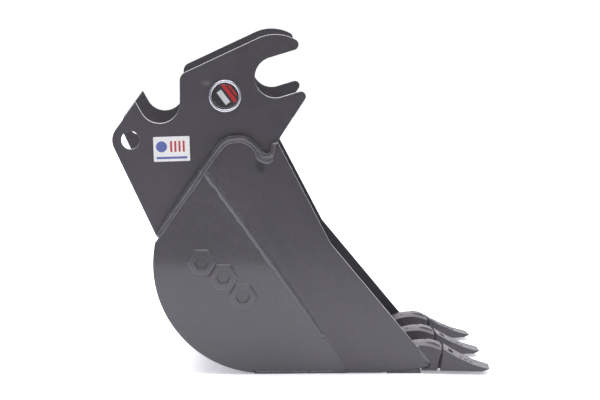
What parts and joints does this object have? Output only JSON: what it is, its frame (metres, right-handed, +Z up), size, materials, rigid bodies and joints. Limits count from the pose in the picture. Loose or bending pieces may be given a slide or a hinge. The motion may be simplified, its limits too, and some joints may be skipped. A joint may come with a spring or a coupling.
{
  "type": "excavator bucket",
  "caption": "Narrow trenching bucket in painted steel plate, with open-hook quick-coupler ears, welded side cutters, wear strips and pinned chisel teeth on weld-on adapters.",
  "frame": {"origin": "centre of the footprint of the whole bucket, at the level of the lip's underside", "axes": "+X forward, towards the teeth; +Z up; +Y to the left, across the bucket"},
  "size_m": [0.7877, 0.337, 0.707],
  "materials": {
    "painted_plate": "semi-gloss dark grey paint on rolled plate",
    "wear_plate": "semi-gloss dark grey paint on abrasion-resistant plate",
    "weld_bead": "painted weld bead with ripples",
    "adapter_steel": "painted casting",
    "tooth_steel": "painted casting, slightly rough",
    "pin_steel": "dull hardened steel",
    "pin_rubber": "matt rubber",
    "badge_chrome": "polished",
    "badge_enamel": "domed gloss resin",
    "label_vinyl": "printed vinyl, no lettering"
  },
  "bodies": {
    "bucket": {"back_wrapper": "painted_plate", "badge_bezel": "badge_chrome", "badge_face": "badge_enamel", "cutting_lip": "wear_plate", "label_plate": "label_vinyl", "left_ear_plate": "painted_plate", "left_ear_weld": "weld_bead", "left_seam_weld": "weld_bead", "left_side_cutter": "painted_plate", "left_side_plate": "painted_plate", "left_tooth": "tooth_steel", "left_tooth_adapter": "adapter_steel", "left_wear_strip": "wear_plate", "middle_tooth": "tooth_steel", "middle_tooth_adapter": "adapter_steel", "middle_wear_strip": "wear_plate", "relief_mark_1": "painted_plate", "relief_mark_2": "painted_plate", "relief_mark_3": "painted_plate", "right_ear_plate": "painted_plate", "right_ear_weld": "weld_bead", "right_seam_weld": "weld_bead", "right_side_cutter": "painted_plate", "right_side_plate": "painted_plate", "right_tooth": "tooth_steel", "right_tooth_adapter": "adapter_steel", "right_wear_strip": "wear_plate", "top_plate": "painted_plate", "upper_back_plate": "painted_plate"},
    "right_tooth_pin": {"right_pin_front_half": "pin_steel", "right_pin_rear_half": "pin_steel", "right_pin_rubber_core": "pin_rubber"},
    "middle_tooth_pin": {"middle_pin_front_half": "pin_steel", "middle_pin_rear_half": "pin_steel", "middle_pin_rubber_core": "pin_rubber"},
    "left_tooth_pin": {"left_pin_front_half": "pin_steel", "left_pin_rear_half": "pin_steel", "left_pin_rubber_core": "pin_rubber"}
  },
  "joints": [
    {"name": "right_tooth_pin_slide", "type": "slide", "parent": "bucket", "child": "right_tooth_pin", "axis": [0, 0, 1], "range_m": [0, 0.045]},
    {"name": "middle_tooth_pin_slide", "type": "slide", "parent": "bucket", "child": "middle_tooth_pin", "axis": [0, 0, 1], "range_m": [0, 0.045]},
    {"name": "left_tooth_pin_slide", "type": "slide", "parent": "bucket", "child": "left_tooth_pin", "axis": [0, 0, 1], "range_m": [0, 0.045]}
  ]
}
